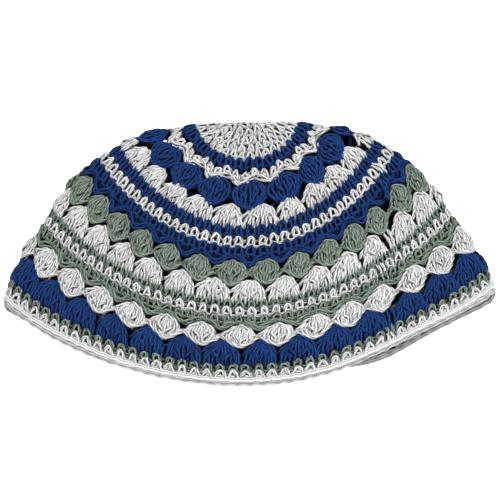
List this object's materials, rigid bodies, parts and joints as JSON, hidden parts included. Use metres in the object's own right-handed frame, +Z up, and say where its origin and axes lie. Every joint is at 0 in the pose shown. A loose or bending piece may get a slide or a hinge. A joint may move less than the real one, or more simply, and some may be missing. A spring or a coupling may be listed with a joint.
{
  "type": "kippah skullcap",
  "caption": "Crocheted cotton skullcap with striped and shell-stitch rounds, lying folded in two, its rim open towards the front.",
  "frame": {"origin": "middle of the box's base, where the lower layer rests on the table", "axes": "+Z up, +X to the right along the rim, the mouth towards -Y and the crown fold towards +Y"},
  "size_m": [0.2358, 0.1608, 0.025],
  "materials": {
    "cotton_white": "matte crocheted cotton yarn",
    "cotton_blue": "matte crocheted cotton yarn",
    "cotton_green": "matte crocheted cotton yarn"
  },
  "bodies": {
    "root": {"crown_white": "cotton_white", "round_blue_1": "cotton_blue", "zigzag_white": "cotton_white", "shells_blue_1": "cotton_blue", "shells_white_1": "cotton_white", "round_blue_2": "cotton_blue", "round_white_1": "cotton_white", "round_blue_3": "cotton_blue", "shells_green": "cotton_green", "shells_white_2": "cotton_white", "round_green_1": "cotton_green", "round_white_2": "cotton_white", "round_green_2": "cotton_green", "shells_white_3": "cotton_white", "shells_blue_2": "cotton_blue", "round_green_3": "cotton_green", "rim_white": "cotton_white"}
  },
  "joints": []
}
